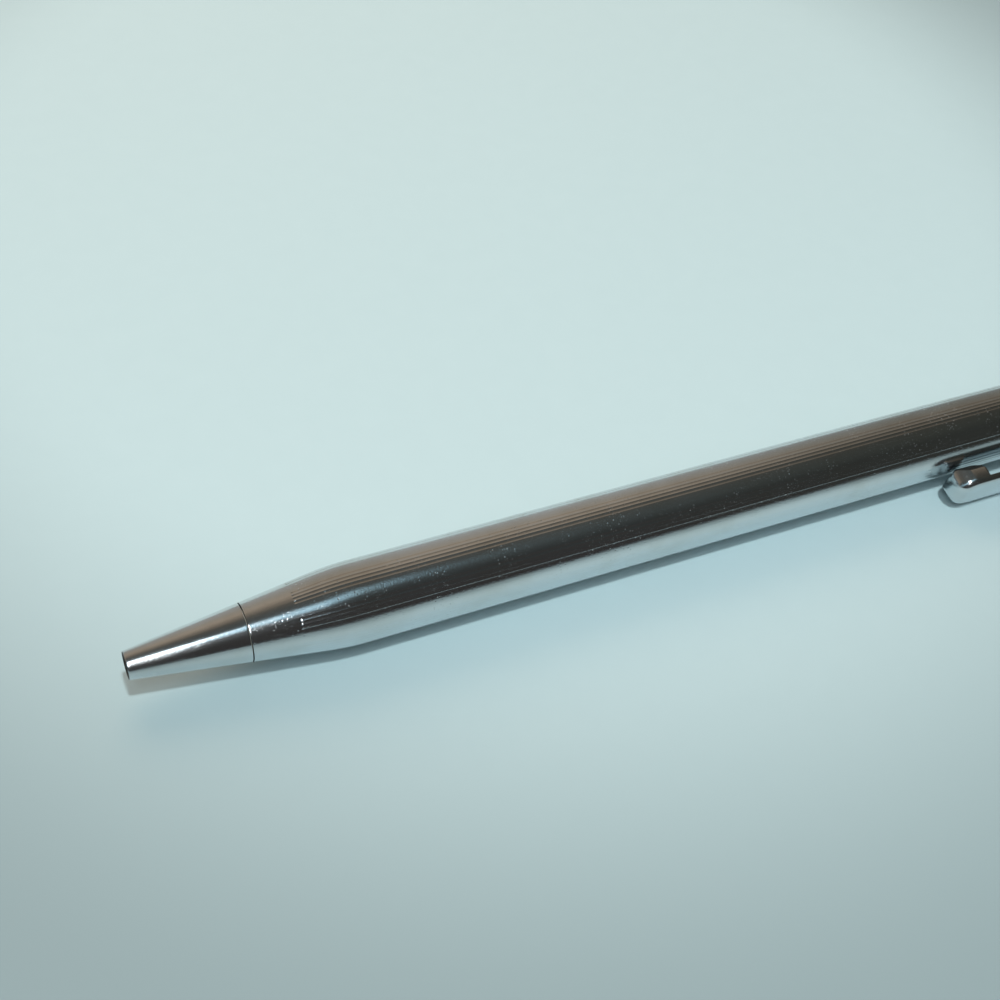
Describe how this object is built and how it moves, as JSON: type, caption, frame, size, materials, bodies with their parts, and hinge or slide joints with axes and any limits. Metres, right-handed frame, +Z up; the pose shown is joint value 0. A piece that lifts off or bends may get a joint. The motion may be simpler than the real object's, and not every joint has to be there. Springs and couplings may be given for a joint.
{
  "type": "ballpoint pen",
  "caption": "Slim bright chrome push-button ballpoint pen with groups of fine cut lines along the barrel, a tapered nose and a pocket clip.",
  "frame": {"origin": "on the table under the middle of the pen's outline, as it lies on its barrel and clip", "axes": "+X along the pen from the tip to the button, +Z up from the table, clip toward -Y"},
  "size_m": [0.1354, 0.0111, 0.0078],
  "materials": {
    "bright_chrome": "bright polished plating",
    "turned_brass": "turned",
    "ivory_nylon": "moulded",
    "grey_plastic": "moulded",
    "spring_steel": "drawn wire",
    "point_metal": "turned nickel silver",
    "ball_metal": "ground",
    "blue_ink": "paste ink",
    "clear_grease": "grease"
  },
  "bodies": {
    "case": {"nose_cone": "bright_chrome", "joint_ring": "ivory_nylon", "barrel": "bright_chrome", "front_bush": "turned_brass", "clip_band": "bright_chrome", "end_bush": "turned_brass", "end_collar": "bright_chrome", "cam_sleeve": "grey_plastic", "return_spring": "spring_steel"},
    "clip": {"clip": "bright_chrome"},
    "button": {"button_cap": "bright_chrome", "button_stem": "ivory_nylon"},
    "rotor": {"rotor": "grey_plastic"},
    "refill": {"point_socket": "point_metal", "slim_tube": "turned_brass", "refill_tube": "turned_brass", "ink_column": "blue_ink", "ink_grease": "clear_grease", "refill_plug": "ivory_nylon"},
    "ball": {"point_ball": "ball_metal"}
  },
  "joints": [
    {"name": "button_press", "type": "slide", "parent": "case", "child": "button", "axis": [-1, 0, 0], "range_m": [0, 0.0063], "stiffness_N_per_m": 300, "springref_m": -0.006, "deforming": ["return_spring"]},
    {"name": "refill_advance", "type": "slide", "parent": "case", "child": "refill", "axis": [-1, 0, 0], "range_m": [0, 0.0063]},
    {"name": "rotor_advance", "type": "slide", "parent": "case", "child": "rotor", "axis": [-1, 0, 0], "range_m": [0, 0.0063]},
    {"name": "clip_flex", "type": "hinge", "parent": "case", "child": "clip", "pos_m": [0.05265, -0.00246, 0.0029], "axis": [0, -0.2323, 0.9727], "range_deg": [0, 4.5], "stiffness_Nm_per_rad": 0.6, "springref_deg": -1.15},
    {"name": "ball_roll", "type": "hinge", "parent": "refill", "child": "ball", "pos_m": [-0.06505, 0.00172, 0.0039], "axis": [0, 1, 0], "continuous": true}
  ],
  "couplings": [
    {"joint": "refill_advance", "follows": "button_press", "ratio": 1},
    {"joint": "rotor_advance", "follows": "button_press", "ratio": 1}
  ]
}
